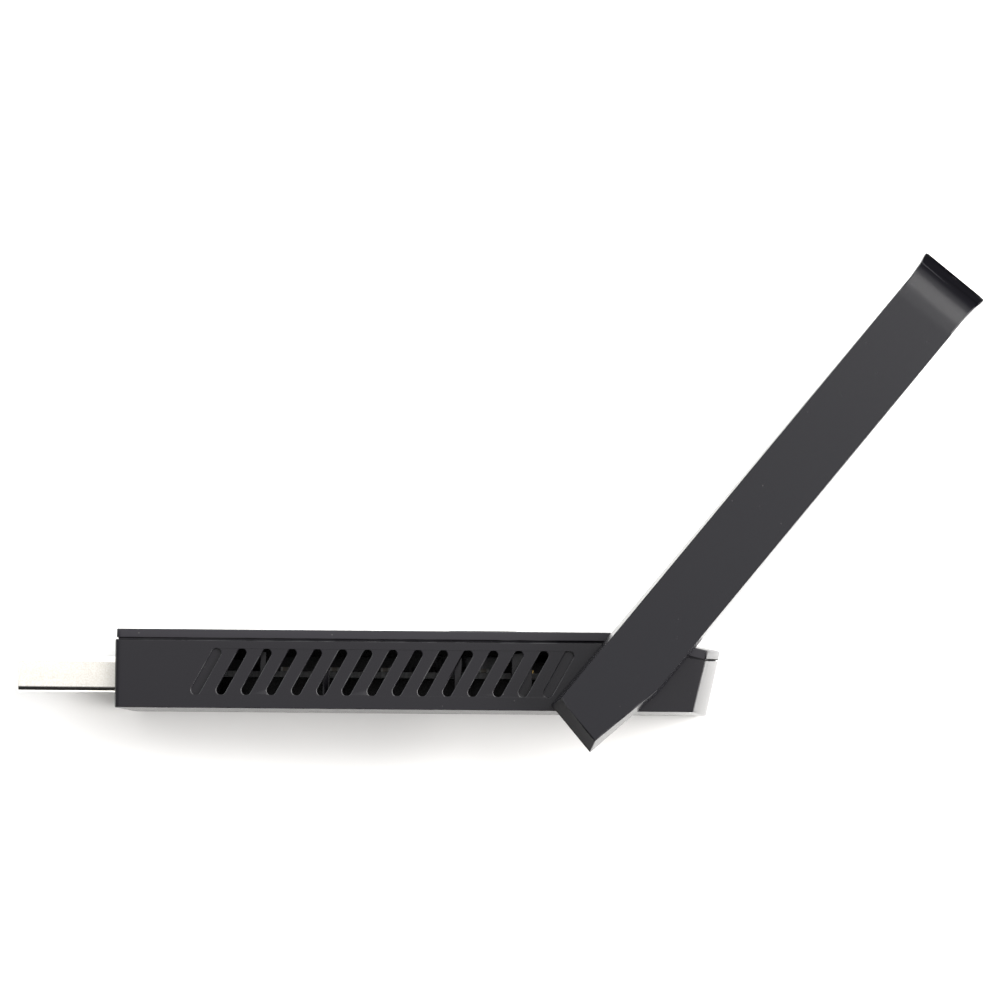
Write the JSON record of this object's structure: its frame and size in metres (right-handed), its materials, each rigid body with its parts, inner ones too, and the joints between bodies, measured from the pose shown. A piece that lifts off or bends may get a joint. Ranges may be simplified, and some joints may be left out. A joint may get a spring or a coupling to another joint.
{
  "type": "usb wifi adapter",
  "caption": "Slim black USB wifi adapter with slanted side vents, a metal plug at one end and an antenna arm that swings out on a pivot at the other.",
  "frame": {"origin": "on the flat side that the adapter lies on, under the middle of the housing's length and height", "axes": "+X from the USB plug to the far end, +Y from the underside to the top cover, +Z from the flat side to the side that carries the antenna arm"},
  "size_m": [0.1224, 0.0632, 0.0263],
  "materials": {
    "housing_plastic": "semi-gloss black moulded plastic, finely grained",
    "cover_plastic": "semi-gloss black moulded plastic",
    "arm_plastic": "semi-gloss black moulded plastic",
    "arm_back_plastic": "matt black moulded plastic",
    "button_plastic": "satin black plastic",
    "plug_nickel": "nickel-plated steel sheet, fine grain",
    "white_plastic": "white moulded plastic",
    "contact_gold": "gold-plated",
    "tinned_sheet": "tinned steel sheet",
    "blackened_sheet": "blackened tin sheet",
    "chip_black": "moulded chip package",
    "thermal_rubber": "soft grey heat pad",
    "coax_jacket": "thin coax jacket",
    "clear_plastic": "clear moulded light guide",
    "board_dark": "circuit board with black solder mask",
    "capacitor_ceramic": "dark ceramic chip body",
    "hinge_steel": "plain steel",
    "element_copper": "bare copper"
  },
  "bodies": {
    "housing": {"lower_housing": "housing_plastic", "top_cover": "cover_plastic", "main_board": "board_dark", "usb_plug_shell": "plug_nickel", "usb_plug_tongue": "white_plastic", "usb_contact_1": "contact_gold", "usb_contact_2": "contact_gold", "usb_contact_3": "contact_gold", "usb_contact_4": "contact_gold", "rf_shield_can": "blackened_sheet", "wifi_chip": "chip_black", "thermal_pad": "thermal_rubber", "crystal": "tinned_sheet", "power_inductor": "chip_black", "inner_antenna": "tinned_sheet", "coax_socket": "contact_gold", "coax_plug": "contact_gold", "coax_in_housing": "coax_jacket", "status_led": "white_plastic", "light_pipe": "clear_plastic", "tact_switch": "tinned_sheet", "pivot_bush": "hinge_steel", "front_end_module_1": "chip_black", "front_end_module_2": "chip_black", "edge_capacitor_1": "capacitor_ceramic", "edge_capacitor_2": "capacitor_ceramic", "edge_capacitor_3": "capacitor_ceramic", "edge_capacitor_4": "capacitor_ceramic", "board_screw_1": "hinge_steel", "board_screw_2": "hinge_steel"},
    "button": {"pairing_button": "button_plastic"},
    "arm": {"arm_outer_shell": "arm_plastic", "arm_inner_plate": "arm_back_plastic", "pivot_tube": "hinge_steel", "friction_washer": "hinge_steel", "retaining_clip": "hinge_steel", "antenna_board": "board_dark", "antenna_element": "element_copper", "coax_in_arm": "coax_jacket"}
  },
  "joints": [
    {"name": "antenna_hinge", "type": "hinge", "parent": "housing", "child": "arm", "pos_m": [0.027, 0, 0.0213], "axis": [0, 0, 1], "range_deg": [-50.8, 129.2]},
    {"name": "button_press", "type": "slide", "parent": "housing", "child": "button", "axis": [0, -1, 0], "range_m": [0, 0.0003], "stiffness_N_per_m": 900, "springref_m": -0.0005}
  ]
}
